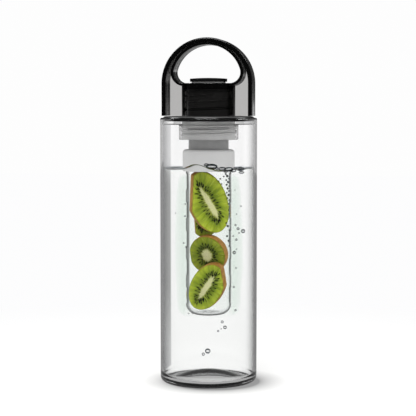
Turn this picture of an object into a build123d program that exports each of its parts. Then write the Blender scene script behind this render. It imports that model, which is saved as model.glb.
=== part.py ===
from build123d import *
import math
import os

os.makedirs("parts", exist_ok=True)

# Fruit infuser water bottle. Millimetres, +Z up, origin at the centre of the base.
# The carrying loop lies in the XZ plane and -Y is the front.

# Bottle body, a clear tube with a domed base
body_diameter = 73.0
body_height = 199.8
body_wall = 2.2
base_thickness = 3.0
base_edge_radius = 4.0
base_inner_radius = 5.5
punt_inset = 11.5
punt_rise = 5.0
rim_radius = 1.3

# Clear shoulder ring, welded onto a ledge inside the body's mouth
ring_drop = 2.4
ring_thickness = 2.4
ledge_step = 0.7
shoulder_width = 12.6
neck_length = 13.8
neck_root_wall = 1.3

# Screw between the shoulder ring and the grey collar
neck_pitch = 3.0
neck_thread_depth = 0.9
neck_thread_foot = 1.5
neck_thread_crest = 0.7
neck_male_turns = 3.5
neck_female_turns = 1.25

# Black mouthpiece, a spout on a broad flange with a gasket under it
flange_thickness = 3.4
flange_edge_radius = 2.4
flange_lift = 0.2
gasket_thickness = 1.5
gasket_width = 4.0
gasket_inset = 5.0
spout_inset = 3.05
spout_wall = 2.95
spout_height = 18.5
spout_lip_radius = 1.0
spigot_wall = 2.5
spigot_length = 3.0

# Grey collar, welded onto the mouthpiece's spigot, with its screw, stem and nipple
collar_relief = 0.4
collar_floor = 3.0
coring_wall = 2.9
coring_roof = 4.5
stem_inset = 4.9
stem_wall = 3.1
stem_height = 7.9
nipple_wall = 1.5

# Cap of the infuser basket, pressed onto the collar's nipple
cup_height = 16.2
cup_roof = 2.6
cup_edge_radius = 2.5
cup_wall = 1.5

# Lid, one moulding with its carrying loop
lid_gap = 0.3
barrel_roof = 4.6
barrel_root_wall = 1.9
barrel_edge_radius = 0.8
loop_inset = 0.5
loop_rise = 33.9
loop_crown = 5.3
loop_depth = 22.0
loop_band = 3.2
loop_edge_radius = 1.3
loop_inner_edge = 0.9
web_thickness = 2.0
opening_inset = 8.2
opening_corner_radius = 8.0
opening_rim = 2.2
opening_rim_depth = 20.0
opening_rim_edge = 0.7

# Screw between the lid and the spout
lid_pitch = 4.5
lid_thread_depth = 1.1
lid_thread_foot = 1.9
lid_thread_crest = 0.9
lid_male_turns = 2.8
lid_female_turns = 1.2
lid_seal_thickness = 1.6
lid_seal_width = 3.45

# Pressure vent in the lid's roof
button_inset = 6.15
button_thickness = 2.3
button_crown = 0.6
button_travel = 1.0
button_stop_gap = 0.1
vent_stem_diameter = 6.0
vent_head_diameter = 9.0
vent_head_height = 1.2
vent_seal_diameter = 13.0
vent_seal_thickness = 1.3
return_ring_width = 2.2
return_ring_inset = 1.2

# Infuser basket, a clear tube with a column of slots on either side, screwed into its cap
basket_wall = 1.2
basket_length = 121.1
basket_end_radius = 8.0
basket_seal_thickness = 1.2
basket_pitch = 4.0
basket_thread_depth = 0.7
basket_thread_foot = 1.7
basket_thread_crest = 0.9
basket_male_turns = 1.5
basket_female_turns = 1.2
slot_width = 5.0
slot_height = 13.0
slot_corner_radius = 2.2
slot_first_height = 14.2
slot_spacing = 21.6
slot_rows = 5
slot_angle = 8.5
drain_diameter = 2.2
drain_circle = 8.0
drain_count = 4

# Kiwi slices in the basket
slice_thickness = 7.0
slice_edge_radius = 1.2
slice_wall_gap = 0.15

# Each slice's place across and up and its half length and half width, as shares of the
# basket's inner radius, and its place in depth as a share of the slices' thickness
slice_place_shares = {
    "kiwi_slice_1": (-0.025, -0.37, 5.34),
    "kiwi_slice_2": (-0.2875, 1.14, 4.32),
    "kiwi_slice_3": (-0.0125, 0.26, 2.84),
    "kiwi_slice_4": (-0.0125, -0.34, 1.34),
}
slice_size_shares = {
    "kiwi_slice_1": (1.55, 0.9375),
    "kiwi_slice_2": (0.7125, 0.65),
    "kiwi_slice_3": (0.925, 0.9375),
    "kiwi_slice_4": (1.275, 0.8),
}

# Each slice's turn in its own face, about Z, and back from upright, in degrees
slice_turns = {
    "kiwi_slice_1": (-22, 27, 4),
    "kiwi_slice_2": (0, 16, 3),
    "kiwi_slice_3": (0, -15, 11),
    "kiwi_slice_4": (32, -13, 11),
}

# Clearances
weld_gap = 0.05
turning_gap = 0.3
thread_gap = 0.2
flank_gap = 0.15
pass_gap = 0.6
vent_gap = 0.3
overrun = 1.0

# Radii that follow from the sizes above
body_radius = body_diameter / 2
body_inner = body_radius - body_wall
ledge_radius = body_inner + ledge_step
punt_radius = body_radius - punt_inset
neck_radius = ledge_radius - shoulder_width
neck_female_root = neck_radius - neck_root_wall
neck_male_root = neck_female_root - neck_thread_depth - thread_gap
flange_radius = ledge_radius - turning_gap
groove_outer = flange_radius - gasket_inset
groove_inner = groove_outer - gasket_width
cup_radius = neck_female_root - neck_thread_depth - pass_gap
cup_female_root = cup_radius - cup_wall
basket_radius = cup_female_root - thread_gap - basket_thread_depth
basket_inner = basket_radius - basket_wall
stem_radius = neck_male_root - stem_inset
stem_inner = stem_radius - stem_wall
nipple_radius = stem_inner + nipple_wall
lid_male_root = neck_male_root - spout_inset
spout_inner = lid_male_root - spout_wall
spigot_radius = spout_inner + spigot_wall
lid_female_root = lid_male_root + lid_thread_depth + thread_gap
barrel_radius = lid_female_root + barrel_root_wall
lid_seal_radius = lid_female_root - turning_gap
loop_half_width = flange_radius - loop_inset
opening_radius = loop_half_width - opening_inset
button_radius = barrel_radius - button_inset
vent_stem_radius = vent_stem_diameter / 2

# Heights that follow from the sizes above
ring_top = body_height - ring_drop
ring_bottom = ring_top - ring_thickness
neck_bottom = ring_top - neck_length
flange_bottom = ring_top + flange_lift
flange_top = flange_bottom + flange_thickness
collar_bottom = neck_bottom + collar_relief
cup_top = collar_bottom - stem_height
cup_ceiling = cup_top - cup_roof
cup_bottom = cup_top - cup_height
spout_top = flange_top + spout_height
lid_bottom = flange_top + lid_gap
roof_bottom = spout_top + lid_seal_thickness
roof_top = roof_bottom + barrel_roof
loop_top = roof_top + loop_rise
loop_centre = loop_top - loop_half_width
opening_centre = loop_top - loop_crown - opening_radius
button_bottom = roof_top + button_travel + button_stop_gap
basket_top = cup_ceiling - basket_seal_thickness
basket_bottom = basket_top - basket_length


def flank_offset(foot, crest, depth):
    """Height between the middles of two mated ridges whose flanks nearly touch."""
    slope = (foot - crest) / 2 / depth
    return foot - slope * (depth + thread_gap) + flank_gap


# Heights at which the ridges' middles start. Tightened, the collar's ridge bears up against the
# neck's, the lid's against the spout's from below, and the basket's down on the cup's.
neck_male_start = collar_bottom + neck_thread_foot
neck_female_start = neck_male_start + neck_pitch
neck_female_start += flank_offset(neck_thread_foot, neck_thread_crest, neck_thread_depth)
lid_female_start = lid_bottom + lid_thread_foot
lid_male_start = lid_female_start
lid_male_start += flank_offset(lid_thread_foot, lid_thread_crest, lid_thread_depth)
basket_female_start = cup_bottom + basket_thread_foot
basket_male_start = basket_female_start
basket_male_start += flank_offset(basket_thread_foot, basket_thread_crest, basket_thread_depth)


def corner_edges(corners):
    """Edges of a closed outline, each corner given as (across, up, rounding radius)."""
    spans = []
    count = len(corners)
    for index, (across, up, radius) in enumerate(corners):
        here = Vector(across, up)
        back = (Vector(*corners[index - 1][:2]) - here).normalized()
        ahead = (Vector(*corners[(index + 1) % count][:2]) - here).normalized()
        if radius == 0:
            spans.append((here, None, here))
            continue
        half = math.radians(back.get_angle(ahead)) / 2
        reach = radius / math.tan(half)
        middle = here + (back + ahead).normalized() * (radius / math.sin(half) - radius)
        spans.append((here + back * reach, middle, here + ahead * reach))
    edges = []
    for index, (begin, middle, end) in enumerate(spans):
        if middle is not None:
            edges.append(ThreePointArc(begin, middle, end))
        edges.append(Line(end, spans[(index + 1) % count][0]))
    return edges


def turned(corners):
    """A solid turned about Z from the corners of its half section."""
    return revolve(Plane.XZ * make_face(corner_edges(corners)), Axis.Z)


def disc(radius, low, high):
    """A plain round solid on Z between two heights."""
    return Pos(0, 0, low) * Cylinder(radius, high - low, align=(Align.CENTER, Align.CENTER, Align.MIN))


def washer(outer, inner, low, high):
    """A flat ring on Z between two heights."""
    return disc(outer, low, high) - disc(inner, low, high)


def thread_ridge(root, depth, pitch, turns, start, foot, crest, side):
    """A right-handed helical ridge on a cylinder; side is 1 outwards and -1 inwards."""
    bite = depth / 3
    slope = (foot - crest) / 2 / depth
    half_foot = foot / 2 + slope * bite
    section = [
        (root - side * bite, 0, start - half_foot),
        (root + side * depth, 0, start - crest / 2),
        (root + side * depth, 0, start + crest / 2),
        (root - side * bite, 0, start + half_foot),
    ]
    face = Face(Wire.make_polygon([Vector(*point) for point in section], close=True))
    return sweep(face, path=Helix(pitch, pitch * turns, root, center=(0, 0, start)), is_frenet=True)


# Bottle body


def make_bottle_body():
    outside = turned(
        [
            (0, 0, 0),
            (body_radius, 0, base_edge_radius),
            (body_radius, body_height, rim_radius),
            (ledge_radius, body_height, 0),
            (ledge_radius, ring_bottom, 0),
            (0, ring_bottom, 0),
        ]
    )
    hollow = turned(
        [
            (0, base_thickness, 0),
            (body_inner, base_thickness, base_inner_radius),
            (body_inner, ring_bottom, 0),
            (0, ring_bottom, 0),
        ]
    )
    dome_radius = (punt_radius**2 + punt_rise**2) / (2 * punt_rise)
    dome_place = Pos(0, 0, punt_rise - dome_radius)
    hollow -= dome_place * Sphere(dome_radius + base_thickness)
    return outside - hollow - dome_place * Sphere(dome_radius)


def make_shoulder_ring():
    ring = turned(
        [
            (neck_female_root, ring_top, 0),
            (neck_female_root, neck_bottom, 0),
            (neck_radius, neck_bottom, neck_root_wall / 3),
            (neck_radius, ring_bottom, neck_root_wall),
            (ledge_radius - weld_gap, ring_bottom, 0),
            (ledge_radius - weld_gap, ring_top, 0),
        ]
    )
    return ring + thread_ridge(
        neck_female_root,
        neck_thread_depth,
        neck_pitch,
        neck_female_turns,
        neck_female_start,
        neck_thread_foot,
        neck_thread_crest,
        -1,
    )


# Mouthpiece, collar and gasket


def make_mouthpiece():
    blank = turned(
        [
            (spout_inner, spout_top, 0),
            (spout_inner, flange_bottom - spigot_length, 0),
            (spigot_radius, flange_bottom - spigot_length, 0),
            (spigot_radius, flange_bottom, 0),
            (flange_radius, flange_bottom, 0),
            (flange_radius, flange_top, flange_edge_radius),
            (lid_male_root, flange_top, 0),
            (lid_male_root, spout_top, spout_lip_radius),
        ]
    )
    blank -= washer(groove_outer, groove_inner, flange_bottom, ring_top + gasket_thickness)
    return blank + thread_ridge(
        lid_male_root,
        lid_thread_depth,
        lid_pitch,
        lid_male_turns,
        lid_male_start,
        lid_thread_foot,
        lid_thread_crest,
        1,
    )


def make_neck_collar():
    bore_step = collar_bottom + collar_floor
    socket_radius = spigot_radius + weld_gap
    blank = turned(
        [
            (socket_radius, flange_bottom, 0),
            (socket_radius, flange_bottom - spigot_length, 0),
            (spout_inner, flange_bottom - spigot_length, 0),
            (spout_inner, bore_step + spout_inner - stem_inner, 0),
            (stem_inner, bore_step, 0),
            (stem_inner, cup_ceiling, 0),
            (nipple_radius, cup_ceiling, 0),
            (nipple_radius, cup_top, 0),
            (stem_radius, cup_top, 0),
            (stem_radius, collar_bottom, 0),
            (neck_male_root, collar_bottom, 0),
            (neck_male_root, flange_bottom, 0),
        ]
    )
    coring_outer = neck_male_root - coring_wall
    blank -= washer(coring_outer, stem_radius, collar_bottom, flange_bottom - coring_roof)
    return blank + thread_ridge(
        neck_male_root,
        neck_thread_depth,
        neck_pitch,
        neck_male_turns,
        neck_male_start,
        neck_thread_foot,
        neck_thread_crest,
        1,
    )


def make_body_gasket():
    return washer(
        groove_outer - turning_gap,
        groove_inner + turning_gap,
        ring_top,
        ring_top + gasket_thickness,
    )


# Lid with its carrying loop


def arch_face(half_width, low):
    """A tombstone outline in XZ, straight legs below a half circle."""
    left = Vector(-half_width, loop_centre)
    right = Vector(half_width, loop_centre)
    edges = [
        ThreePointArc(right, Vector(0, loop_centre + half_width), left),
        Line(left, Vector(-half_width, low)),
        Line(Vector(-half_width, low), Vector(half_width, low)),
        Line(Vector(half_width, low), right),
    ]
    return make_face(edges)


def opening_face(grow):
    """The finger opening in XZ, a circle cut flat below with rounded lower corners."""
    radius = opening_radius + grow
    floor = roof_top - grow
    corner = opening_corner_radius + grow
    corner_up = floor + corner
    corner_across = math.sqrt((radius - corner) ** 2 - (corner_up - opening_centre) ** 2)
    angle = math.atan2(corner_up - opening_centre, corner_across)
    side = Vector(radius * math.cos(angle), opening_centre + radius * math.sin(angle))
    knee_angle = (angle - math.pi / 2) / 2
    knee = Vector(
        corner_across + corner * math.cos(knee_angle),
        corner_up + corner * math.sin(knee_angle),
    )
    foot = Vector(corner_across, floor)
    edges = [
        ThreePointArc(side, Vector(0, opening_centre + radius), Vector(-side.X, side.Y)),
        ThreePointArc(Vector(-side.X, side.Y), Vector(-knee.X, knee.Y), Vector(-foot.X, foot.Y)),
        Line(Vector(-foot.X, foot.Y), foot),
        ThreePointArc(foot, knee, side),
    ]
    return make_face(edges)


def plate(face, thickness):
    """A plate in XZ, centred on Y."""
    return extrude(Plane.XZ * face, thickness / 2, both=True)


def long_edges(solid, half_depth):
    """The edges of a plate that lie in its front or back face."""
    return solid.edges().filter_by(lambda edge: abs(abs(edge.center().Y) - half_depth) < half_depth / 100)


def make_lid_frame():
    inner_half = loop_half_width - loop_band
    outer = plate(arch_face(loop_half_width, lid_bottom), loop_depth)
    rounded = long_edges(outer, loop_depth / 2).filter_by(
        lambda edge: edge.center().Z > lid_bottom + loop_band
    )
    outer = fillet(rounded, loop_edge_radius)
    band = outer - plate(arch_face(inner_half, lid_bottom - overrun), 2 * loop_depth)
    inner_edges = long_edges(band, loop_depth / 2).filter_by(
        lambda edge: max(edge.bounding_box().max.X, -edge.bounding_box().min.X) < inner_half + loop_band / 4
    )
    band = fillet(inner_edges, loop_inner_edge)
    web = plate(arch_face(inner_half + loop_band / 2, lid_bottom), web_thickness)
    web -= plate(opening_face(opening_rim / 2), 2 * loop_depth)
    rim = plate(opening_face(opening_rim), opening_rim_depth) - plate(opening_face(0), 2 * loop_depth)
    rim_edges = long_edges(rim, opening_rim_depth / 2).filter_by(
        lambda edge: edge.bounding_box().max.X < opening_radius + opening_rim / 2
    )
    rim = fillet(rim_edges, opening_rim_edge)
    barrel = disc(barrel_radius, lid_bottom, roof_top)
    barrel = fillet(barrel.edges().group_by(Axis.Z)[-1], barrel_edge_radius)
    frame = band + web + rim + barrel
    frame -= disc(lid_female_root, lid_bottom - overrun, roof_bottom)
    frame -= disc(vent_stem_radius + vent_gap, roof_bottom - overrun, roof_top + overrun)
    return frame + thread_ridge(
        lid_female_root,
        lid_thread_depth,
        lid_pitch,
        lid_female_turns,
        lid_female_start,
        lid_thread_foot,
        lid_thread_crest,
        -1,
    )


def make_lid_seal():
    return washer(lid_seal_radius, lid_seal_radius - lid_seal_width, spout_top, roof_bottom)


# Pressure vent


def make_vent_button():
    head = vent_head_diameter / 2
    head_top = roof_bottom - vent_seal_thickness
    crown_top = button_bottom + button_thickness + button_crown
    crown_radius = (button_radius**2 + button_crown**2) / (2 * button_crown)
    body = turned(
        [
            (0, head_top - vent_head_height, 0),
            (vent_stem_radius, head_top - vent_head_height, 0),
            (head, head_top - vent_head_height / 2, 0),
            (head, head_top, 0),
            (vent_stem_radius, head_top, 0),
            (vent_stem_radius, button_bottom, 0),
            (button_radius, button_bottom, 0),
            (button_radius, crown_top, 0),
            (0, crown_top, 0),
        ]
    )
    return body & Pos(0, 0, crown_top - crown_radius) * Sphere(crown_radius)


def make_vent_seal():
    return washer(
        vent_seal_diameter / 2,
        vent_stem_radius,
        roof_bottom - vent_seal_thickness,
        roof_bottom,
    )


def make_return_ring():
    outer = button_radius - return_ring_inset
    return washer(outer, outer - return_ring_width, roof_top, button_bottom)


# Infuser basket


def make_basket_cap():
    cap = turned(
        [
            (nipple_radius + weld_gap, cup_top, 0),
            (nipple_radius + weld_gap, cup_ceiling, 0),
            (cup_female_root, cup_ceiling, 0),
            (cup_female_root, cup_bottom, 0),
            (cup_radius, cup_bottom, cup_wall / 3),
            (cup_radius, cup_top, cup_edge_radius),
        ]
    )
    return cap + thread_ridge(
        cup_female_root,
        basket_thread_depth,
        basket_pitch,
        basket_female_turns,
        basket_female_start,
        basket_thread_foot,
        basket_thread_crest,
        -1,
    )


def make_basket_tube():
    tube = turned(
        [
            (0, basket_bottom, 0),
            (basket_radius, basket_bottom, basket_end_radius),
            (basket_radius, basket_top, 0),
            (basket_inner, basket_top, 0),
            (basket_inner, basket_bottom + basket_wall, basket_end_radius - basket_wall),
            (0, basket_bottom + basket_wall, 0),
        ]
    )
    slot = plate(RectangleRounded(slot_width, slot_height, slot_corner_radius), 4 * basket_radius)
    for row in range(slot_rows):
        rise = basket_bottom + slot_first_height + row * slot_spacing
        tube -= Pos(0, 0, rise) * Rot(0, 0, 90 + slot_angle) * slot
    drain = disc(drain_diameter / 2, basket_bottom - overrun, basket_bottom + basket_wall + overrun)
    for index in range(drain_count):
        tube -= Rot(0, 0, (index + 1 / 2) * 360 / drain_count) * Pos(drain_circle / 2, 0, 0) * drain
    ridge = thread_ridge(
        basket_radius,
        basket_thread_depth,
        basket_pitch,
        basket_male_turns,
        basket_male_start,
        basket_thread_foot,
        basket_thread_crest,
        1,
    )
    return tube + ridge


def make_basket_seal():
    return washer(basket_radius, stem_inner, basket_top, cup_ceiling)


def make_kiwi_slice(name):
    across, depth, rise = slice_place_shares[name]
    half_long, half_short = slice_size_shares[name]
    lean, facing, pitch = slice_turns[name]
    blank = plate(Ellipse(half_short * basket_inner, half_long * basket_inner), slice_thickness)
    blank = fillet(long_edges(blank, slice_thickness / 2), slice_edge_radius)
    middle = Pos(across * basket_inner, depth * slice_thickness, basket_bottom + rise * basket_inner)
    placed = middle * Rot(0, 0, facing) * Rot(pitch, 0, 0) * Rot(0, lean, 0) * blank
    return placed & disc(basket_inner - slice_wall_gap, basket_bottom, basket_top)


pieces = {
    "bottle_body": make_bottle_body(),
    "shoulder_ring": make_shoulder_ring(),
    "mouthpiece": make_mouthpiece(),
    "body_gasket": make_body_gasket(),
    "neck_collar": make_neck_collar(),
    "lid_frame": make_lid_frame(),
    "lid_seal": make_lid_seal(),
    "vent_button": make_vent_button(),
    "vent_seal": make_vent_seal(),
    "vent_return_ring": make_return_ring(),
    "basket_cap": make_basket_cap(),
    "basket_tube": make_basket_tube(),
    "basket_seal": make_basket_seal(),
}
for name in slice_turns:
    pieces[name] = make_kiwi_slice(name)

for name, solid in pieces.items():
    export_step(solid, f"parts/{name}.step")
    box = solid.bounding_box()
    low = [round(value, 2) for value in box.min]
    high = [round(value, 2) for value in box.max]
    print(name, "solids", len(solid.solids()), "volume", round(solid.volume), "low", low, "high", high)
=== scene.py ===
import math
import random

import bmesh
import bpy
from mathutils import Matrix, Vector, noise


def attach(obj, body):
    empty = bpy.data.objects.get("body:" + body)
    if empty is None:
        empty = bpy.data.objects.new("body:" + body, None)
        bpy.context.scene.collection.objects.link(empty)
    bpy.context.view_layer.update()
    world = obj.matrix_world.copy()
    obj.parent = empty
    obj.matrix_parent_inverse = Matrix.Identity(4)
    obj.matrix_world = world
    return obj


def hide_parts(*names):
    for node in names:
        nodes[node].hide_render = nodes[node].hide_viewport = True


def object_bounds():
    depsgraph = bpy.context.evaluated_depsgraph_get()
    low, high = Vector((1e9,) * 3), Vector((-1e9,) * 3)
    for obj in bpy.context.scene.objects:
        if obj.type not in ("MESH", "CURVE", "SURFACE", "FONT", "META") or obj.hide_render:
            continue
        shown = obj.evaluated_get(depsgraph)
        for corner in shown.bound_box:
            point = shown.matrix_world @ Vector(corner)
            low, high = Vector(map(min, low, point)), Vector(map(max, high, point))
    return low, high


# Looks of the fruit infuser bottle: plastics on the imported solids, and the fruit, water, bubbles
# and studio around them. Metres, +Z up, the origin at the centre of the base.

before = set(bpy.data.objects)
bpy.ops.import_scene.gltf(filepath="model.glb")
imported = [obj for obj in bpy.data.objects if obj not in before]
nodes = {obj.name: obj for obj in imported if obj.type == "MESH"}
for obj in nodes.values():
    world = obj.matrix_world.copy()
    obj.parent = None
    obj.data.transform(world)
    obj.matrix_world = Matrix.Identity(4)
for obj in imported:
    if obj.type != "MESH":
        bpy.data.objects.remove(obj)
cad_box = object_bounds()
scene = bpy.context.scene
MM = 0.001
WHITE = (1.0, 1.0, 1.0)

# Camera, at the photograph's angle
CAMERA_AZIMUTH = math.radians(8.5)
CAMERA_DISTANCE = 1.065
CAMERA_HEIGHT = 0.212
CAMERA_PLACE = Vector((
    CAMERA_DISTANCE * math.sin(CAMERA_AZIMUTH),
    -CAMERA_DISTANCE * math.cos(CAMERA_AZIMUTH),
    CAMERA_HEIGHT,
))
CAMERA_AIM = Vector((-0.00046, 0.0, 0.1317))
CAMERA_LENS = 122.2
CAMERA_SENSOR = 36.0

# Sizes of the body that the water follows
BODY_INNER_RADIUS = cad_box[1][0] - 2.2 * MM
BASE_THICKNESS = 3.0 * MM
DOME_RISE = 5.0 * MM
DOME_HALF_WIDTH = 25.0 * MM
DOME_RADIUS = (DOME_HALF_WIDTH**2 + DOME_RISE**2) / (2 * DOME_RISE)


# Node helpers


def grey(level):
    return (level, level, level)


def add(tree, kind, values=None, **settings):
    """A shader node with its settings, and its inputs as values or as sockets to link."""
    node = tree.nodes.new(kind)
    for key, value in settings.items():
        setattr(node, key, value)
    for key, value in (values or {}).items():
        if isinstance(value, bpy.types.NodeSocket):
            tree.links.new(value, node.inputs[key])
        else:
            node.inputs[key].default_value = value
    return node


def new_material(name):
    material = bpy.data.materials.new(name)
    material.use_nodes = True
    tree = material.node_tree
    tree.nodes.clear()
    return material, tree


def finish_material(tree, surface, volume=None):
    output = add(tree, "ShaderNodeOutputMaterial", {"Surface": surface})
    if volume is not None:
        tree.links.new(volume, output.inputs["Volume"])


def own_place(tree):
    """The object's own coordinates, in metres."""
    return add(tree, "ShaderNodeTexCoord").outputs["Object"]


def parts_of(tree, vector):
    """The three parts of a vector, as sockets."""
    return add(tree, "ShaderNodeSeparateXYZ", {0: vector}).outputs


def facing_of(tree):
    """0 where the surface faces the ray, towards 1 where it is seen edge-on."""
    return add(tree, "ShaderNodeLayerWeight", {"Blend": 0.5}).outputs["Facing"]


def grain(tree, scale, detail, stretch=(1.0, 1.0, 1.0)):
    """Noise on the object's own coordinates, with scale in cycles a metre."""
    mapping = add(tree, "ShaderNodeMapping", {"Vector": own_place(tree), "Scale": stretch})
    values = {"Vector": mapping.outputs[0], "Scale": scale, "Detail": detail}
    return add(tree, "ShaderNodeTexNoise", values).outputs["Fac"]


def ranged(tree, value, low, high, to_low, to_high):
    """The value's stretch from low to high, mapped to another and held at its ends."""
    values = {0: value, 1: low, 2: high, 3: to_low, 4: to_high}
    return add(tree, "ShaderNodeMapRange", values, clamp=True).outputs[0]


def math_of(tree, operation, first, second=0.0):
    return add(tree, "ShaderNodeMath", {0: first, 1: second}, operation=operation).outputs[0]


def product(tree, first, second):
    return math_of(tree, "MULTIPLY", first, second)


def length_of(tree, vector):
    return add(tree, "ShaderNodeVectorMath", {0: vector}, operation="LENGTH").outputs["Value"]


def mixed(tree, factor, first, second):
    """A colour between two, each a colour or a socket."""
    node = add(tree, "ShaderNodeMix", data_type="RGBA")
    for key, value in ((0, factor), (6, first), (7, second)):
        if isinstance(value, bpy.types.NodeSocket):
            tree.links.new(value, node.inputs[key])
        elif key == 0:
            node.inputs[key].default_value = value
        else:
            node.inputs[key].default_value = (*value, 1.0)
    return node.outputs[2]


def bumped(tree, height, distance, strength=1.0, under=None):
    values = {"Height": height, "Distance": distance, "Strength": strength}
    if under is not None:
        values["Normal"] = under
    return add(tree, "ShaderNodeBump", values).outputs["Normal"]


def principled(tree, values):
    return add(tree, "ShaderNodeBsdfPrincipled", values).outputs[0]


def glowing(tree, colour):
    return add(tree, "ShaderNodeEmission", {"Color": colour, "Strength": 1.0}).outputs[0]


def either_shader(tree, factor, first, second):
    return add(tree, "ShaderNodeMixShader", {0: factor, 1: first, 2: second}).outputs[0]


def lets_lamps_through(tree, shader, tint, edge_tint=None):
    """The shader, with a transparent one in its place for shadow and diffuse rays."""
    path = add(tree, "ShaderNodeLightPath")
    either = math_of(tree, "MAXIMUM", path.outputs["Is Shadow Ray"], path.outputs["Is Diffuse Ray"])
    tone = (*tint, 1.0)
    if edge_tint is not None:
        tone = mixed(tree, ranged(tree, facing_of(tree), 0.55, 0.95, 0.0, 1.0), tint, edge_tint)
    clear = add(tree, "ShaderNodeBsdfTransparent", {"Color": tone})
    return either_shader(tree, either, shader, clear.outputs[0])


# Plastics. Tones are linear, and bump depths are real ones.

# Where the lid's smoke plastic looks solid: off the thin webs, and beside, outside and above its
# barrel. Each is the distance at which the change starts and the one at which it is complete.
OFF_WEBS = (1.8 * MM, 2.6 * MM)
BESIDE_BARREL = (16.2 * MM, 17.2 * MM)
OUTSIDE_BARREL = (20.6 * MM, 21.2 * MM)
ABOVE_BARREL = (226.2 * MM, 227.5 * MM)

# Heights below which a moulding is darker, and the share of its tone that it keeps there: painted
# shade on the stem under the collar, and the black of the mouthpiece's flange
STEM_PAINTED_SHADE = (183.8 * MM, 0.55)
FLANGE_BLACK_TONE = (200.0 * MM, 0.08)
PAINTED_SHADE_AND_TONE_EDGE = 0.4 * MM


def clear_plastic(name, edge_tone, ior):
    """Clear moulded plastic, darker where it is seen edge-on, with faint handling marks."""
    material, tree = new_material(name)
    edge = ranged(tree, facing_of(tree), 0.42, 0.86, 0.0, 1.0)
    scuffs = grain(tree, 900.0, 2.0, (0.15, 0.15, 1.0))
    ripple = bumped(tree, grain(tree, 38.0, 1.0), 0.05 * MM)
    values = {
        "Base Color": mixed(tree, edge, WHITE, edge_tone),
        "Roughness": ranged(tree, grain(tree, 55.0, 4.0), 0.45, 0.72, 0.0, 0.035),
        "IOR": ior,
        "Transmission Weight": 1.0,
        "Normal": bumped(tree, scuffs, 0.002 * MM, 0.5, ripple),
    }
    finish_material(tree, lets_lamps_through(tree, principled(tree, values), grey(0.97), grey(0.55)))
    return material


def smoke_plastic():
    """Smoke-black see-through plastic, whose depth decides how dark it is, solid off the webs."""
    material, tree = new_material("smoke_plastic")
    across, deep, height = parts_of(tree, own_place(tree))
    off_webs = ranged(tree, math_of(tree, "ABSOLUTE", deep), *OFF_WEBS, 0.0, 1.0)
    flat = add(tree, "ShaderNodeCombineXYZ", {0: across, 1: deep, 2: 0.0})
    beside = ranged(tree, math_of(tree, "ABSOLUTE", across), *BESIDE_BARREL, 0.0, 0.8)
    outside = ranged(tree, length_of(tree, flat.outputs[0]), *OUTSIDE_BARREL, 0.0, 1.0)
    above = ranged(tree, height, *ABOVE_BARREL, 0.0, 1.0)
    off_barrel = math_of(tree, "MAXIMUM", math_of(tree, "MAXIMUM", beside, outside), above)
    on_band = product(tree, off_webs, off_barrel)
    handled = ranged(tree, grain(tree, 60.0, 4.0), 0.42, 0.75, 0.05, 0.09)
    values = {
        "Base Color": mixed(tree, on_band, WHITE, grey(0.012)),
        "Roughness": math_of(tree, "ADD", handled, product(tree, on_band, 0.12)),
        "IOR": 1.5,
        "Transmission Weight": 1.0,
        "Normal": bumped(tree, grain(tree, 700.0, 3.0, (1.0, 1.0, 0.12)), 0.001 * MM, 0.4),
    }
    smoke = {"Color": (0.03, 0.015, 0.0, 1.0), "Density": 400.0}
    volume = add(tree, "ShaderNodeVolumeAbsorption", smoke)
    plastic = lets_lamps_through(tree, principled(tree, values), grey(0.96))
    finish_material(tree, plastic, volume.outputs[0])
    return material


def solid_plastic(name, level, varied_level, roughness, grain_depth, painted_shade_and_tone=None):
    """Moulded plastic with a slow change of tone, a fine grain and worn, duller patches."""
    material, tree = new_material(name)
    varied = ranged(tree, grain(tree, 45.0, 3.0), 0.35, 0.7, 0.0, 1.0)
    tone = mixed(tree, varied, grey(level), grey(varied_level))
    # Darker below a height: painted shade on the stem under the collar, the flange's black on the
    # mouthpiece
    if painted_shade_and_tone is not None:
        top, share = painted_shade_and_tone
        height = parts_of(tree, own_place(tree))[2]
        tone = mixed(tree, ranged(tree, height, top, top + PAINTED_SHADE_AND_TONE_EDGE, 1.0, 0.0), tone, grey(level * share))
    worn = ranged(tree, grain(tree, 160.0, 5.0), 0.5, 0.8, 0.0, 0.08)
    values = {
        "Base Color": tone,
        "Roughness": math_of(tree, "ADD", worn, roughness),
        "IOR": 1.5,
        "Normal": bumped(tree, grain(tree, 2600.0, 2.0), grain_depth, 0.6),
    }
    finish_material(tree, principled(tree, values))
    return material


def silicone(name, level):
    """Soft, dull silicone with a faint bloom."""
    material, tree = new_material(name)
    bloom = ranged(tree, grain(tree, 240.0, 4.0), 0.4, 0.7, 0.0, 1.0)
    values = {
        "Base Color": mixed(tree, bloom, grey(level), grey(level * 1.12)),
        "Roughness": ranged(tree, grain(tree, 500.0, 2.0), 0.3, 0.7, 0.38, 0.55),
        "IOR": 1.42,
        "Subsurface Weight": 0.25,
        "Subsurface Radius": WHITE,
        "Subsurface Scale": 1.0 * MM,
        "Normal": bumped(tree, grain(tree, 3000.0, 2.0), 0.01 * MM, 0.5),
    }
    finish_material(tree, principled(tree, values))
    return material


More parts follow.
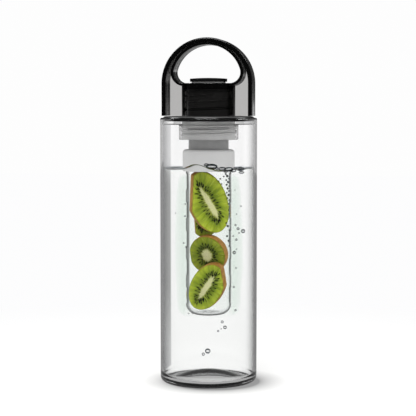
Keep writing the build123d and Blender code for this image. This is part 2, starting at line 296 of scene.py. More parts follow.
black_silicone = silicone("black_silicone", 0.014)
worn_by = {
    "bottle_body": clear_plastic("clear_body", (0.34, 0.34, 0.35), 1.46),
    "shoulder_ring": clear_plastic("clear_neck", grey(0.85), 1.25),
    "basket_tube": clear_plastic("clear_basket", (0.86, 0.88, 0.88), 1.11),
    "lid_frame": smoke_plastic(),
    "mouthpiece": solid_plastic("spout_plastic", 0.06, 0.08, 0.13, 0.001 * MM, FLANGE_BLACK_TONE),
    "neck_collar": solid_plastic("grey_plastic", 0.52, 0.58, 0.28, 0.006 * MM, STEM_PAINTED_SHADE),
    "basket_cap": solid_plastic("cap_plastic", 0.6, 0.66, 0.36, 0.006 * MM),
    "vent_button": solid_plastic("black_plastic", 0.004, 0.008, 0.05, 0.001 * MM),
    "body_gasket": black_silicone,
    "lid_seal": black_silicone,
    "vent_seal": black_silicone,
    "vent_return_ring": silicone("pale_silicone", 0.5),
    "basket_seal": black_silicone,
}
for name, material in worn_by.items():
    slots = nodes[name].data.materials
    slots.clear()
    slots.append(material)


# Meshes


def object_from(name, mesh, materials, body, place=None, sheer=False):
    """A smooth piece that rides a body. A sheer one is left out by diffuse and shadow rays."""
    for material in materials:
        mesh.materials.append(material)
    mesh.shade_smooth()
    piece = bpy.data.objects.new(name, mesh)
    scene.collection.objects.link(piece)
    if place is not None:
        piece.matrix_world = place
    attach(piece, body)
    if sheer:
        piece.visible_diffuse = piece.visible_shadow = False
    return piece


def grid_mesh(name, rows, top_hub=None, bottom_hub=None):
    """A round mesh from rows of points, each row one turn, with a fan to each hub that is given."""
    points = [point for row in rows for point in row]
    around = len(rows[0])
    faces = []
    for level in range(len(rows) - 1):
        for index in range(around):
            ahead = (index + 1) % around
            low, high = level * around, (level + 1) * around
            faces.append((low + index, low + ahead, high + ahead, high + index))
    for hub_point, level in ((bottom_hub, 0), (top_hub, len(rows) - 1)):
        if hub_point is None:
            continue
        hub = len(points)
        points.append(hub_point)
        for index in range(around):
            ahead = (index + 1) % around
            edge = (level * around + index, level * around + ahead)
            faces.append((*edge, hub) if level else (*edge[::-1], hub))
    mesh = bpy.data.meshes.new(name)
    mesh.from_pydata(points, [], faces)
    mesh.update()
    return mesh


def evenly_round(count):
    """The angles of a turn in so many equal steps."""
    return [math.tau * index / count for index in range(count)]


def on_circle(turn, radius=1.0, height=0.0):
    return Vector((radius * math.cos(turn), radius * math.sin(turn), height))


# Kiwi slices. Place and half sizes in millimetres, and turns in degrees: lean, facing and pitch.
# The core has its half sizes as shares of the slice's own, its own lean in degrees and the share
# by which its lower end is wider. The painted shade is the share of the flesh's tone that is left
# on a slice that lies in shade.
SLICES = {
    1: {
        "at": (-0.4, -2.59, 136.64), "turns": (-22, 27, 4), "half": (15.0, 24.8),
        "core": (0.15, 0.54, -10, 0.3), "painted_shade_and_tone": 1.0,
    },
    2: {
        "at": (-4.6, 7.98, 120.32), "turns": (0, 16, 3), "half": (10.4, 11.4),
        "core": (0.3, 0.25, 0, 0.0), "painted_shade_and_tone": 0.85,
    },
    3: {
        "at": (-0.2, 1.82, 96.64), "turns": (0, -15, 11), "half": (15.0, 14.8),
        "core": (0.27, 0.32, 0, 0.0), "painted_shade_and_tone": 0.66,
    },
    4: {
        "at": (-0.2, -2.38, 72.64), "turns": (32, -13, 11), "half": (12.8, 20.4),
        "core": (0.16, 0.56, 3, -0.1), "painted_shade_and_tone": 1.0,
    },
}
SLICE_HALF_THICKNESS = 3.5 * MM
SLICE_TURNS = 192
SLICE_WALL_RADIUS = 15.8 * MM

# Shares of the way from the heart's middle to the skin
CORE_SHARE = 0.22
SEED_RING_SHARE = 0.3
FACE_SHARES = (
    0.05, 0.1, 0.15, 0.19, 0.22, 0.25, 0.28, 0.32, 0.36, 0.42,
    0.48, 0.54, 0.6, 0.66, 0.72, 0.78, 0.84, 0.9, 0.94, 0.97,
)
FLESH_STOPS = (
    (0.235, (0.34, 0.38, 0.06)),
    (0.34, (0.11, 0.15, 0.008)),
    (0.52, (0.22, 0.31, 0.012)),
    (0.72, (0.39, 0.49, 0.026)),
    (0.9, (0.52, 0.60, 0.045)),
    (0.96, (0.28, 0.36, 0.012)),
)
HEART_STOPS = ((0.0, (0.84, 0.82, 0.50)), (0.19, (0.76, 0.76, 0.38)))
PALE_RAY = (0.66, 0.74, 0.12)
DARK_RAY = (0.1, 0.17, 0.006)
LEAST_HEART_SHADE = 0.8
SKIN_STEPS = 8

# Seeds: how many a side on a long slice and on a round one, and their sizes
LONG_CORE_SHARE = 0.4
SEEDS_LONG, SEEDS_ROUND = 56, 44
SEED_LENGTHS = (1.1, 1.75)
SEED_WIDTHS = (0.3, 0.46)
SEED_DEPTH = 0.3 * MM
SEED_SINK = 0.05 * MM
SEED_NEAR, SEED_FAR = (1.2, 2.1), (2.4, 4.2)


def flesh_material(name, painted_shade_and_tone):
    """Kiwi flesh by its own rays: U runs round the slice and V from the heart to the skin."""
    material, tree = new_material(name)
    around, out, _ = parts_of(tree, add(tree, "ShaderNodeUVMap").outputs[0])
    turn = product(tree, around, math.tau)

    def rays(count, along, detail):
        across = product(tree, math_of(tree, "COSINE", turn), count)
        up = product(tree, math_of(tree, "SINE", turn), count)
        vector = add(tree, "ShaderNodeCombineXYZ", {0: across, 1: up, 2: product(tree, out, along)})
        values = {"Vector": vector.outputs[0], "Scale": 1.0, "Detail": detail}
        return add(tree, "ShaderNodeTexNoise", values).outputs["Fac"]

    def shaded(colour, share):
        return tuple(tone * share for tone in colour)

    fine = rays(17.0, 1.1, 3.0)
    broad = rays(6.0, 1.6, 2.0)
    ragged = math_of(tree, "ADD", out, ranged(tree, rays(12.0, 0.6, 2.0), 0.3, 0.7, -0.045, 0.045))
    # Painted shade: a slice that lies in shade gets darker flesh, and its heart keeps the painted shade
    # divided by LEAST_HEART_SHADE, up to its full tone.
    heart_shade = painted_shade_and_tone / max(painted_shade_and_tone, LEAST_HEART_SHADE)
    stops = [(place, shaded(colour, heart_shade)) for place, colour in HEART_STOPS]
    stops += [(place, shaded(colour, painted_shade_and_tone)) for place, colour in FLESH_STOPS]
    ramp = add(tree, "ShaderNodeValToRGB", {0: ragged})
    elements = ramp.color_ramp.elements
    while len(elements) < len(stops):
        elements.new(0.5)
    for element, (place, colour) in zip(elements, stops):
        element.position = place
        element.color = (*colour, 1.0)
    off_core = ranged(tree, out, 0.2, 0.3, 0.0, 1.0)
    pale = product(tree, ranged(tree, fine, 0.5, 0.72, 0.0, 0.55), off_core)
    dark = product(tree, ranged(tree, broad, 0.6, 0.35, 0.0, 0.5), off_core)
    colour = mixed(tree, pale, ramp.outputs[0], shaded(PALE_RAY, painted_shade_and_tone))
    values = {
        "Base Color": mixed(tree, dark, colour, shaded(DARK_RAY, painted_shade_and_tone)),
        "Roughness": ranged(tree, fine, 0.3, 0.7, 0.34, 0.2),
        "IOR": 1.36,
        "Subsurface Weight": 0.18,
        "Subsurface Radius": (0.9, 1.0, 0.25),
        "Subsurface Scale": 1.5 * MM,
        "Coat Weight": 0.25,
        "Coat Roughness": 0.12,
        "Normal": bumped(tree, fine, 0.25 * MM, 0.8),
    }
    finish_material(tree, principled(tree, values))
    return material


def skin_material():
    material, tree = new_material("kiwi_skin")
    mottle = ranged(tree, grain(tree, 420.0, 4.0), 0.35, 0.7, 0.0, 1.0)
    speck = ranged(tree, grain(tree, 1900.0, 2.0), 0.62, 0.72, 0.0, 0.5)
    colour = mixed(tree, mottle, (0.34, 0.14, 0.02), (0.56, 0.3, 0.06))
    values = {
        "Base Color": mixed(tree, speck, colour, (0.09, 0.035, 0.01)),
        "Roughness": ranged(tree, mottle, 0.0, 1.0, 0.5, 0.7),
        "Normal": bumped(tree, grain(tree, 1500.0, 3.0), 0.12 * MM, 0.8),
    }
    finish_material(tree, principled(tree, values))
    return material


def seed_material():
    material, tree = new_material("kiwi_seed")
    tone = ranged(tree, grain(tree, 2500.0, 2.0), 0.4, 0.7, 0.0, 1.0)
    values = {
        "Base Color": mixed(tree, tone, (0.004, 0.003, 0.002), (0.018, 0.012, 0.006)),
        "Roughness": 0.22,
    }
    finish_material(tree, principled(tree, values))
    return material


class Slice:
    """A cut slice in its own frame, its face in XZ, kept inside the basket's bore."""

    def __init__(self, number):
        sizes = SLICES[number]
        lean, facing, pitch = (math.radians(turn) for turn in sizes["turns"])
        place = Matrix.Translation(Vector(sizes["at"]) * MM)
        place = place @ Matrix.Rotation(facing, 4, "Z") @ Matrix.Rotation(pitch, 4, "X")
        self.number = number
        self.place = place @ Matrix.Rotation(lean, 4, "Y")
        self.half_across, self.half_up = (half * MM for half in sizes["half"])
        self.core_across, self.core_up, core_lean, self.core_widens = sizes["core"]
        self.core_turned = Matrix.Rotation(math.radians(core_lean), 3, "Y")
        self.turns = evenly_round(SLICE_TURNS)
        self.outlines = [self.reach(turn) * self.wobble(turn) for turn in self.turns]

    def reach(self, turn):
        """How far the outline runs at an angle of the ellipse before the bore stops it."""
        ray = Vector((self.half_across * math.sin(turn), 0, self.half_up * math.cos(turn)))
        low, high = 0.2, 1.0

        def inside(share):
            depths = (side * SLICE_HALF_THICKNESS for side in (-1, 0, 1))
            spots = (self.place @ (ray * share + Vector((0, depth, 0))) for depth in depths)
            return all(math.hypot(spot.x, spot.y) < SLICE_WALL_RADIUS for spot in spots)

        if inside(high):
            return high
        for _ in range(18):
            middle = (low + high) / 2
            low, high = (middle, high) if inside(middle) else (low, middle)
        return low

    def wobble(self, turn):
        at = Vector((2.1 * math.sin(turn), 2.1 * math.cos(turn), self.number))
        return 1 - 0.012 * abs(noise.noise(at))

    def spot(self, index, share):
        """A point of the face: share runs from the heart's middle to the outline."""
        turn = self.turns[index % SLICE_TURNS]
        sine, cosine = math.sin(turn), math.cos(turn)
        ragged = 1 + 0.3 * noise.noise(Vector((5 * sine, 5 * cosine, self.number * 3.7)))
        wide = ragged * (1 - self.core_widens * cosine)
        across = self.half_across * self.core_across * sine * wide
        up = self.half_up * self.core_up * cosine * ragged
        core = self.core_turned @ Vector((across, 0, up))
        if share <= CORE_SHARE:
            return core * (share / CORE_SHARE)
        edge = Vector((self.half_across * sine, 0, self.half_up * cosine))
        edge *= self.outlines[index % SLICE_TURNS]
        return core.lerp(edge, (share - CORE_SHARE) / (1 - CORE_SHARE))

    def relief(self, index, share):
        """How far the face stands out: a raised heart, a sunken ring of seeds and fine ribs."""
        turn = self.turns[index % SLICE_TURNS]
        at = Vector((9 * math.sin(turn), 9 * math.cos(turn), share * 2.5 + self.number))
        ring = math.exp(-(((share - SEED_RING_SHARE) / 0.07) ** 2))
        fade = min(1.0, (1 - share) / 0.06)
        return (0.16 * noise.noise(at) - 0.22 * ring + 0.06) * fade * MM

    def face_row(self, share, side):
        row = []
        for index in range(SLICE_TURNS):
            depth = side * (SLICE_HALF_THICKNESS + self.relief(index, share))
            row.append(self.spot(index, share) + Vector((0, depth, 0)))
        return row

    def skin_row(self, swing):
        """A row of the skin, from the front edge at a swing of 0 to the back edge at half a turn."""
        depth = Vector((0, -math.cos(swing) * SLICE_HALF_THICKNESS, 0))
        bulge = 1 - 0.028 * abs(math.cos(swing)) ** 3
        return [self.spot(index, bulge) + depth for index in range(SLICE_TURNS)]

    def cut_mesh(self):
        """Both faces and the skin between them, with a UV layer for the flesh's rays."""
        rows = [self.face_row(share, -1) for share in FACE_SHARES]
        rows += [self.skin_row(math.pi * step / SKIN_STEPS) for step in range(SKIN_STEPS + 1)]
        rows += [self.face_row(share, 1) for share in reversed(FACE_SHARES)]
        shares = [*FACE_SHARES, *[1.0] * (SKIN_STEPS + 1), *reversed(FACE_SHARES)]
        hubs = (Vector((0, side * SLICE_HALF_THICKNESS, 0)) for side in (1, -1))
        mesh = grid_mesh(f"kiwi_cut_{self.number}", rows, *hubs)
        layer = mesh.uv_layers.new(name="rays")
        skin_levels = range(len(FACE_SHARES) - 1, len(rows) - len(FACE_SHARES))
        on_grid = len(rows) * SLICE_TURNS
        for face in mesh.polygons:
            corners = [mesh.loops[loop].vertex_index for loop in face.loop_indices]
            columns = [corner % SLICE_TURNS for corner in corners if corner < on_grid]
            wraps = max(columns) - min(columns) > SLICE_TURNS / 2
            for loop, corner in zip(face.loop_indices, corners):
                column = corner % SLICE_TURNS
                if corner >= on_grid:
                    layer.data[loop].uv = ((min(columns) + 0.5) / SLICE_TURNS, 0.0)
                elif wraps and column == 0:
                    layer.data[loop].uv = (1.0, shares[corner // SLICE_TURNS])
                else:
                    layer.data[loop].uv = (column / SLICE_TURNS, shares[corner // SLICE_TURNS])
            if min(corner // SLICE_TURNS for corner in corners if corner < on_grid) in skin_levels:
                face.material_index = 1
        return mesh

    def add_seeds(self, seeds):
        """Two rings of seeds on either face, each seed along its own ray."""
        draw = random.Random(40 + self.number)
        count = SEEDS_LONG if self.core_up > LONG_CORE_SHARE else SEEDS_ROUND
        outward = Vector((0, 1, 0))
        for side in (-1, 1):
            for index in range(count):
                at = int((index + draw.uniform(-0.3, 0.3)) / count * SLICE_TURNS) % SLICE_TURNS
                away = draw.uniform(*SEED_NEAR) if index % 2 else draw.uniform(*SEED_FAR)
                span = (self.spot(at, 1.0) - self.spot(at, CORE_SHARE)).length
                share = CORE_SHARE + (1 - CORE_SHARE) * min(away * MM / span, 0.6)
                middle = self.spot(at, share)
                ahead = (self.spot(at, share + 0.05) - middle).normalized()
                length = draw.uniform(*SEED_LENGTHS) * MM
                width = draw.uniform(*SEED_WIDTHS) * MM
                turn = Matrix((outward.cross(ahead), outward, ahead)).transposed().to_4x4()
                rise = side * (SLICE_HALF_THICKNESS + self.relief(at, share) - SEED_SINK)
                made = bmesh.ops.create_uvsphere(seeds, u_segments=10, v_segments=8, radius=1.0)
                for vert in made["verts"]:
                    taper = 1 + 0.35 * vert.co.z
                    spread = (vert.co.x * width * taper, vert.co.y * SEED_DEPTH, vert.co.z * length)
                    vert.co = (turn @ Vector(spread)) + middle + outward * rise
        for face in seeds.faces:
            face.material_index = 2
            face.smooth = True


def make_slice(number, materials):
    cut = Slice(number)
    mesh = cut.cut_mesh()
    seeds = bmesh.new()
    cut.add_seeds(seeds)
    seeds_mesh = bpy.data.meshes.new("seeds")
    seeds.to_mesh(seeds_mesh)
    seeds.free()
    joined = bmesh.new()
    joined.from_mesh(mesh)
    joined.from_mesh(seeds_mesh)
    bpy.data.meshes.remove(seeds_mesh)
    bmesh.ops.recalc_face_normals(joined, faces=joined.faces)
    joined.to_mesh(mesh)
    joined.free()
    piece = object_from(f"kiwi_cut_{number}", mesh, materials, "basket", cut.place)
    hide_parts(f"kiwi_slice_{number}")


skin, seed = skin_material(), seed_material()
for number, sizes in SLICES.items():
    make_slice(number, [flesh_material(f"kiwi_flesh_{number}", sizes["painted_shade_and_tone"]), skin, seed])


# Water, with a rippled top that rises to a hump beside the fruit and climbs at the wall

WATER_RADIUS = BODY_INNER_RADIUS - 0.08 * MM
WATER_HEIGHT = 161.4 * MM
WATER_CORNER = 5.3 * MM
WATER_FLOOR_GAP = 0.15 * MM
WATER_TURNS = 160
FLOOR_RINGS, CORNER_RINGS, WALL_RINGS, TOP_RINGS = 14, 8, 9, 48
HUMP_RISE, HUMP_AT, HUMP_WIDTH, HUMP_DEPTH = 3.8 * MM, -4.0 * MM, 8.5 * MM, 15.0 * MM
DIP_DEPTH, DIP_AT, DIP_WIDTH = 0.9 * MM, 14.0 * MM, 6.0 * MM
CLIMB_RISE, CLIMB_WIDTH = 1.1 * MM, 1.6 * MM
RIPPLES_A_METRE = 90
SURFACE_DEPTH = 2.0 * MM


def water_material(name, ior, tint, edge_tint):
    material, tree = new_material(name)
    values = {
        "Base Color": mixed(tree, ranged(tree, facing_of(tree), 0.6, 0.9, 0.0, 1.0), tint, edge_tint),
        "Roughness": 0.0,
        "IOR": ior,
        "Transmission Weight": 1.0,
        "Normal": bumped(tree, grain(tree, 240.0, 2.0), 0.1 * MM, 0.4),
    }
    finish_material(tree, lets_lamps_through(tree, principled(tree, values), (0.99, 1.0, 0.99)))
    return material


def water_top(across, deep):
    """The height of the water's rippled surface."""
    hump = HUMP_RISE * math.exp(-(((across - HUMP_AT) / HUMP_WIDTH) ** 2))
    hump *= 0.6 - 0.4 * math.tanh(deep / HUMP_DEPTH)
    dip = DIP_DEPTH * math.exp(-(((across - DIP_AT) / DIP_WIDTH) ** 2))
    spot = Vector((across, deep, 0.0)) * RIPPLES_A_METRE
    ripples = 0.5 * MM * noise.noise(spot) + 0.25 * MM * noise.noise(spot * 2.7)
    climb = CLIMB_RISE * math.exp(-(WATER_RADIUS - math.hypot(across, deep)) / CLIMB_WIDTH)
    return WATER_HEIGHT + hump - dip + ripples + climb


def water_floor(across, deep):
    """The height of the bottle's domed floor, with a hair's gap."""
    inner_radius = DOME_RADIUS + BASE_THICKNESS
    reach = max(inner_radius**2 - across**2 - deep**2, 0.0)
    dome = DOME_RISE - DOME_RADIUS + math.sqrt(reach)
    return max(dome, BASE_THICKNESS) + WATER_FLOOR_GAP


def make_water():
    turns = evenly_round(WATER_TURNS)

    def ring(radius, height_at):
        spots = [on_circle(turn, radius) for turn in turns]
        return [Vector((spot.x, spot.y, height_at(spot.x, spot.y))) for spot in spots]

    def level_ring(radius, height):
        return [on_circle(turn, radius, height) for turn in turns]

    flat_radius = WATER_RADIUS - WATER_CORNER
    floor = BASE_THICKNESS + WATER_FLOOR_GAP
    rows = []
    for step in range(1, FLOOR_RINGS + 1):
        rows.append(ring(flat_radius * step / FLOOR_RINGS, water_floor))
    for step in range(1, CORNER_RINGS + 1):
        swing = math.pi / 2 * step / CORNER_RINGS
        height = floor + WATER_CORNER * (1 - math.cos(swing))
        rows.append(level_ring(flat_radius + WATER_CORNER * math.sin(swing), height))
    low = floor + WATER_CORNER
    for step in range(1, WALL_RINGS):
        rows.append(level_ring(WATER_RADIUS, low + (WATER_HEIGHT - low) * step / WALL_RINGS))
    first_top_row = len(rows)
    for step in range(TOP_RINGS):
        radius = WATER_RADIUS * (1 - (step / TOP_RINGS) ** 1.3)
        rows.append(ring(max(radius, 0.4 * MM), water_top))
    top_hub, bottom_hub = Vector((0, 0, water_top(0, 0))), Vector((0, 0, water_floor(0, 0)))
    mesh = grid_mesh("water", rows, top_hub, bottom_hub)
    for face in mesh.polygons:
        on_top = min(vertex // WATER_TURNS for vertex in face.vertices) >= first_top_row
        if on_top and face.center.z > WATER_HEIGHT - SURFACE_DEPTH:
            face.material_index = 1
    materials = [
        water_material("water", 1.001, (0.985, 0.995, 0.985), (0.985, 0.995, 0.985)),
        water_material("water_surface", 1.33, (0.93, 0.96, 0.98), (0.2, 0.24, 0.27)),
    ]
    object_from("water", mesh, materials, "bottle", sheer=True)


make_water()


# Bubbles, each a thin shell with a dark rim. The rising ones lie on the front of two rings round
# the axis and are listed as read off the photo: pixels from its left edge, pixels from its top
# edge, radius in millimetres. The floating ones are listed in millimetres: across, depth,
# height, radius. The axis shows at one column of pixels, and a pixel there is so many millimetres
# wide.

PHOTO_PIXELS = 416
AXIS_PIXEL = 208.4
PIXEL_WIDTH = 0.74
STRING_RING = 24.0
STRING_SEEN = [
    (225.5, 174, 0.75), (223.5, 176.5, 0.6), (227, 176, 0.95), (229, 178.5, 0.75), (226, 180, 0.65),
    (228, 182, 1.05), (226.4, 184.6, 0.75), (229, 186, 0.65), (227.4, 188.4, 0.9), (228.8, 191, 0.75),
    (226.6, 192.8, 0.6), (228.4, 195, 0.95), (227.2, 198, 0.65), (229, 200, 0.8), (228, 203.6, 0.65),
    (229.2, 206.4, 0.6), (228.6, 210, 0.75), (229.4, 214, 0.6), (220, 178.8, 0.65), (218.6, 181, 0.5),
    (221.4, 184, 0.6), (226, 223, 0.75), (227.6, 226, 0.95), (229, 230, 0.6), (226.8, 236, 0.75),
    (228.5, 240.6, 0.9), (229, 246, 0.65),
]
STRAY_RING = 27.0
STRAYS_SEEN = [
    (235, 225, 0.8), (237.5, 228.7, 1.1), (238.6, 233, 0.6), (242.5, 231, 1.5), (235.8, 239.5, 0.9),
    (232.8, 236, 0.6), (233.8, 252.5, 1.25), (236, 249, 0.5), (235.5, 268, 0.65), (233.4, 286.7, 0.8),
    (235, 310, 0.8), (222, 321.7, 1.1), (224.7, 327.2, 1.35), (218, 331, 0.8), (221, 328.8, 0.5),
    (207.8, 350.8, 2), (203.4, 354, 1.2), (189, 313.4, 0.6), (193, 313, 0.65), (184, 243, 0.6),
    (185.4, 216, 0.65), (185.6, 204, 0.6), (186.5, 247, 0.75), (176, 213, 0.45), (240.5, 206, 0.6),
    (234.5, 190, 0.45), (236, 214, 0.5),
]
FLOATING = [
    (6.7, -29.6, 164.4, 4.2), (3.0, -30.2, 165.8, 2.0), (14.1, -28.2, 162.8, 2.8),
    (18.7, -26.2, 162.4, 3.3), (21.5, -24.4, 161.2, 2.2), (26.0, -19.6, 162.4, 3.0),
    (26.7, -18.9, 159.8, 1.9), (10.7, -29.4, 163.0, 1.6), (16.6, -27.6, 160.8, 1.6),
    (22.7, -23.4, 163.3, 1.4),
]
FLOATING_FLATNESS = 0.55
BUBBLE_INNER_SHARE = 0.8


def bubble_material():
    material, tree = new_material("bubble")
    upright = parts_of(tree, add(tree, "ShaderNodeNewGeometry").outputs["Normal"])[2]
    # Painted shade on each bubble's underside, added to the rim that darkens where it is seen edge-on
    painted_shade_beneath = ranged(tree, upright, 0.0, -0.5, 0.0, 0.9)
    rim_and_painted_shade = math_of(tree, "MAXIMUM", ranged(tree, facing_of(tree), 0.25, 0.55, 0.0, 1.0), painted_shade_beneath)
    values = {
        "Base Color": mixed(tree, rim_and_painted_shade, WHITE, (0.03, 0.05, 0.07)),
        "Roughness": 0.0,
        "IOR": 1.33,
        "Transmission Weight": 1.0,
        "Normal": bumped(tree, grain(tree, 300.0, 1.0), 0.02 * MM, 0.4),
    }
    finish_material(tree, lets_lamps_through(tree, principled(tree, values), (0.98, 0.99, 0.99)))
    return material


def seen_spot(ring, pixel, row):
    """Where the camera's line through a pixel meets the front of a ring, to a tenth of a millimetre."""
    ahead = (CAMERA_AIM - CAMERA_PLACE).normalized()
    right = ahead.cross(Vector((0, 0, 1))).normalized()
    up = right.cross(ahead)
    focal, middle = CAMERA_LENS / CAMERA_SENSOR * PHOTO_PIXELS, PHOTO_PIXELS / 2
    line = ahead + right * ((pixel - middle) / focal) + up * ((middle - row) / focal)
    front = -math.sqrt(ring**2 - ((pixel - AXIS_PIXEL) * PIXEL_WIDTH) ** 2) * MM
    spot = CAMERA_PLACE + line * ((front - CAMERA_PLACE.y) / line.y)
    return Vector([round(part / MM, 1) for part in spot])


def bubbles_seen(ring, rows):
    return [(seen_spot(ring, pixel, row), radius) for pixel, row, radius in rows]


def make_bubbles(name, bubbles, flatness):
    draw = random.Random(7)
    made = bmesh.new()
    for spot, radius in bubbles:
        for shell, inner in ((1.0, False), (BUBBLE_INNER_SHARE, True)):
            ball = bmesh.ops.create_icosphere(made, subdivisions=3, radius=radius * shell * MM)
            squeeze = flatness * draw.uniform(0.94, 1.04)
            for vert in ball["verts"]:
                bend = 1 + 0.05 * noise.noise(vert.co * 300 + spot)
                vert.co = Vector((vert.co.x, vert.co.y, vert.co.z * squeeze)) * bend + spot * MM
            if inner:
                faces = {face for vert in ball["verts"] for face in vert.link_faces}
                bmesh.ops.reverse_faces(made, faces=list(faces))
    mesh = bpy.data.meshes.new(name)
    made.to_mesh(mesh)
    made.free()
    object_from(name, mesh, [bubble_material()], "bottle", sheer=True)


# Painted shade in the water, a faintly green sleeve round the basket that swells between its ends

SLEEVE_LOW, SLEEVE_HIGH = 50.0 * MM, 157.5 * MM
SLEEVE_INNER, SLEEVE_OUTER = 18.5 * MM, 26.0 * MM
SLEEVE_TURNS, SLEEVE_LEVELS = 72, 40


def make_green_shade_sleeve():
    """A faintly green sleeve of painted shade in the water round the basket."""
    material, tree = new_material("green_shade_sleeve")
    clear = add(tree, "ShaderNodeBsdfTransparent", {"Color": (*WHITE, 1.0)})
    tint = add(tree, "ShaderNodeVolumeAbsorption", {"Color": (0.0, 0.42, 0.12, 1.0), "Density": 6.5})
    finish_material(tree, clear.outputs[0], tint.outputs[0])
    turns = evenly_round(SLEEVE_TURNS)

    def ring(share, swell):
        height = SLEEVE_LOW + (SLEEVE_HIGH - SLEEVE_LOW) * share
        row = []
        for turn in turns:
            uneven = noise.noise(on_circle(turn) * 1.7 + Vector((0, 0, height * 45)))
            reach = (SLEEVE_OUTER - SLEEVE_INNER) * swell * (1 + 0.18 * uneven)
            row.append(on_circle(turn, SLEEVE_INNER + reach, height))
        return row

    shares = [level / SLEEVE_LEVELS for level in range(SLEEVE_LEVELS + 1)]
    rows = [ring(share, max(math.sin(math.pi * share), 0.0) ** 0.25) for share in shares]
    rows += [ring(share, 0.0) for share in shares[-2:0:-1]]
    mesh = grid_mesh("green_shade_sleeve", rows + [rows[0]])
    joined = bmesh.new()
    joined.from_mesh(mesh)
    bmesh.ops.remove_doubles(joined, verts=joined.verts, dist=0.01 * MM)
    bmesh.ops.recalc_face_normals(joined, faces=joined.faces)
    joined.to_mesh(mesh)
    joined.free()
    object_from("green_shade_sleeve", mesh, [material], "bottle", sheer=True)


make_green_shade_sleeve()
rising = bubbles_seen(STRING_RING, STRING_SEEN) + bubbles_seen(STRAY_RING, STRAYS_SEEN)
make_bubbles("rising_bubbles", rising, 1.0)
floating = [(Vector(spot), radius) for *spot, radius in FLOATING]
make_bubbles("floating_bubbles", floating, FLOATING_FLATNESS)


# Studio

BACKDROP = grey(0.985)

# What is seen through the clear plastics: white, but for a grey card at one side
THROUGH_TONE = grey(1.07)
THROUGH_ABOVE = (0.75, 0.76, 0.78)
CARD_AZIMUTHS = (15.3, 40.0, 0.5)
CARD_TONE = (0.72, 0.72, 0.73)
CARD_LOW_TONE = grey(0.4)

# What the plastics mirror: a dark room, with a brighter low stretch behind the bottle
ROOM_FRONT, ROOM_BACK, ROOM_ABOVE = grey(0.05), grey(0.06), grey(0.03)
LOW_BACK_AZIMUTHS = (-70.0, 85.0, 10.0)
LOW_BACK_TONE = grey(0.6)
DIFFUSE_FILL = grey(0.62)

FLOOR_HALF_WIDTH = 3.0
FLOOR_CELLS = 60
FLOOR_DROP = 0.2 * MM
# A painted contact shadow on the floor round the base: its centre, a little beside the base's middle, and
# its tone, then the floor's own tone
PAINTED_SHADOW_CENTRE = (0.005, -0.002, 0.0)
FLOOR_PAINTED_SHADOW, FLOOR_TONE = grey(0.1), (0.88, 0.88, 0.87)
FLOOR_GLOW = (0.98, 0.98, 0.985, 1.0)
LAMP_AIM = Vector((0, 0, 0.13))

# Lamps: azimuth from the front and elevation in degrees, distance, width, height, power, and
# whether the plastics mirror it
LAMPS = {
    "overhead_box": (-5, 70, 0.9, 0.55, 0.7, 5.4, True),
    "left_high": (-112, 42, 1.0, 0.4, 0.3, 1.6, True),
    "right_high": (118, 42, 1.0, 0.4, 0.3, 1.6, True),
    "right_box": (62, 20, 1.0, 0.22, 0.6, 1.9, False),
    "left_strip": (-70, 12, 1.0, 0.12, 0.6, 1.2, False),
}


def between(tree, azimuth, low, high, soft):
    """1 between two azimuths, in degrees from +Y to the left, and 0 elsewhere."""
    rise = ranged(tree, azimuth, math.radians(low - soft), math.radians(low), 0.0, 1.0)
    fall = ranged(tree, azimuth, math.radians(high), math.radians(high + soft), 1.0, 0.0)
    return product(tree, rise, fall)


def on_glossy_ray(tree, path):
    return math_of(tree, "MINIMUM", path.outputs["Glossy Depth"], 1.0)


def floor_material():
    """Matte floor that takes the shadow, with a painted shadow round and under the base, fades to
    white, and is dark where plastics mirror it.
    """
    material, tree = new_material("studio_floor")
    place = own_place(tree)
    distance = length_of(tree, place)
    # Painted contact shadow: the floor has the painted shadow's tone within 34 mm of its centre and
    # lightens to its own tone by 56 mm
    off_centre = {0: place, 1: PAINTED_SHADOW_CENTRE}
    beside = add(tree, "ShaderNodeVectorMath", off_centre, operation="DISTANCE").outputs["Value"]
    away = math_of(tree, "POWER", ranged(tree, beside, 0.034, 0.056, 0.0, 1.0), 0.5)
    matte = add(tree, "ShaderNodeBsdfDiffuse", {"Color": mixed(tree, away, FLOOR_PAINTED_SHADOW, FLOOR_TONE)})
    # Painted shadow under the base: where the floor is seen through the bottle it is darker inside 20 mm of
    # the middle and clears by 36 mm
    under = mixed(tree, ranged(tree, distance, 0.02, 0.036, 0.0, 1.0), grey(0.6), WHITE)
    through = add(tree, "ShaderNodeBsdfTransparent", {"Color": under})
    deep = parts_of(tree, place)[1]
    room = mixed(tree, ranged(tree, deep, -0.06, 0.1, 0.0, 1.0), grey(0.05), grey(0.35))
    room = mixed(tree, ranged(tree, distance, 0.06, 0.14, 0.0, 1.0), grey(0.4), room)
    path = add(tree, "ShaderNodeLightPath")
    fade = ranged(tree, distance, 0.08, 0.42, 0.25, 1.0)
    seen = product(tree, path.outputs["Is Camera Ray"], fade)
    shader = either_shader(tree, seen, matte.outputs[0], glowing(tree, FLOOR_GLOW))
    shader = either_shader(tree, path.outputs["Is Transmission Ray"], shader, through.outputs[0])
    shader = either_shader(tree, on_glossy_ray(tree, path), shader, glowing(tree, room))
    finish_material(tree, shader)
    return material


def make_floor():
    count = FLOOR_CELLS + 1
    steps = [FLOOR_HALF_WIDTH * (2 * index / FLOOR_CELLS - 1) for index in range(count)]
    points = [Vector((x, y, -FLOOR_DROP)) for y in steps for x in steps]
    faces = []
    for row in range(FLOOR_CELLS):
        for column in range(FLOOR_CELLS):
            at = row * count + column
            faces.append((at, at + 1, at + count + 1, at + count))
    mesh = bpy.data.meshes.new("floor")
    mesh.from_pydata(points, [], faces)
    mesh.materials.append(floor_material())
    floor = bpy.data.objects.new("floor", mesh)
    scene.collection.objects.link(floor)


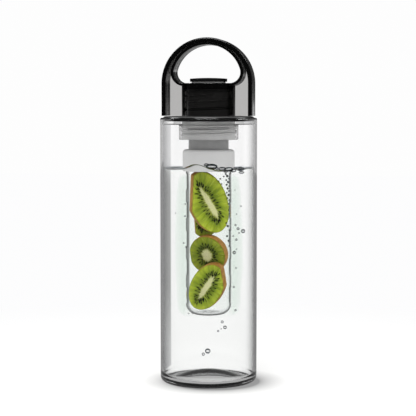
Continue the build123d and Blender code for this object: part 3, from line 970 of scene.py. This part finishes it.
def make_world():
    """White behind the object, a plain level on it, and a darker room in its reflections."""
    world = bpy.data.worlds.new("studio")
    scene.world = world
    world.use_nodes = True
    tree = world.node_tree
    tree.nodes.clear()
    path = add(tree, "ShaderNodeLightPath")
    across, deep, height = parts_of(tree, add(tree, "ShaderNodeTexCoord").outputs["Generated"])
    azimuth = math_of(tree, "ARCTAN2", product(tree, across, -1.0), deep)

    below = ranged(tree, height, -0.06, -0.045, 1.0, 0.0)
    below = product(tree, below, ranged(tree, height, -0.17, -0.13, 0.25, 1.0))
    card = mixed(tree, below, CARD_TONE, CARD_LOW_TONE)
    through = mixed(tree, between(tree, azimuth, *CARD_AZIMUTHS), THROUGH_TONE, card)
    through = mixed(tree, ranged(tree, height, 0.35, 0.6, 0.0, 1.0), through, THROUGH_ABOVE)

    room = mixed(tree, ranged(tree, deep, -0.1, 0.5, 0.0, 1.0), ROOM_FRONT, ROOM_BACK)
    room = mixed(tree, ranged(tree, height, 0.1, 0.6, 0.0, 1.0), room, ROOM_ABOVE)
    over = ranged(tree, height, -0.07, -0.06, 0.0, 1.0)
    under = ranged(tree, height, -0.002, 0.0, 1.0, 0.0)
    low_back = product(tree, product(tree, over, under), between(tree, azimuth, *LOW_BACK_AZIMUTHS))
    room = mixed(tree, low_back, room, LOW_BACK_TONE)

    colour = mixed(tree, path.outputs["Is Transmission Ray"], DIFFUSE_FILL, through)
    colour = mixed(tree, on_glossy_ray(tree, path), colour, room)
    colour = mixed(tree, path.outputs["Is Camera Ray"], colour, BACKDROP)
    background = add(tree, "ShaderNodeBackground", {"Color": colour, "Strength": 1.0})
    add(tree, "ShaderNodeOutputWorld", {"Surface": background.outputs[0]})


def aimed(item, target):
    """Turns a lamp or camera from its place towards a point."""
    item.rotation_euler = (target - item.location).to_track_quat("-Z", "Y").to_euler()


def add_lamp(name, azimuth, elevation, distance, width, height, power, mirrored):
    """A soft box aimed at the bottle, which isn't seen through it."""
    light = bpy.data.lights.new(name, "AREA")
    light.shape = "RECTANGLE"
    light.size, light.size_y = width, height
    light.energy = power
    lamp = bpy.data.objects.new(name, light)
    scene.collection.objects.link(lamp)
    turn, rise = math.radians(azimuth), math.radians(elevation)
    flat = math.cos(rise)
    way = Vector((math.sin(turn) * flat, -math.cos(turn) * flat, math.sin(rise)))
    lamp.location = LAMP_AIM + way * distance
    aimed(lamp, LAMP_AIM)
    lamp.visible_transmission = False
    lamp.visible_glossy = mirrored


def make_camera():
    data = bpy.data.cameras.new("camera")
    data.lens = CAMERA_LENS
    data.sensor_width = CAMERA_SENSOR
    data.clip_start = 0.01
    camera = bpy.data.objects.new("camera", data)
    scene.collection.objects.link(camera)
    camera.location = CAMERA_PLACE
    aimed(camera, CAMERA_AIM)
    scene.camera = camera


make_floor()
make_world()
for name, settings in LAMPS.items():
    add_lamp(name, *settings)
make_camera()
scene.view_settings.view_transform = "Standard"
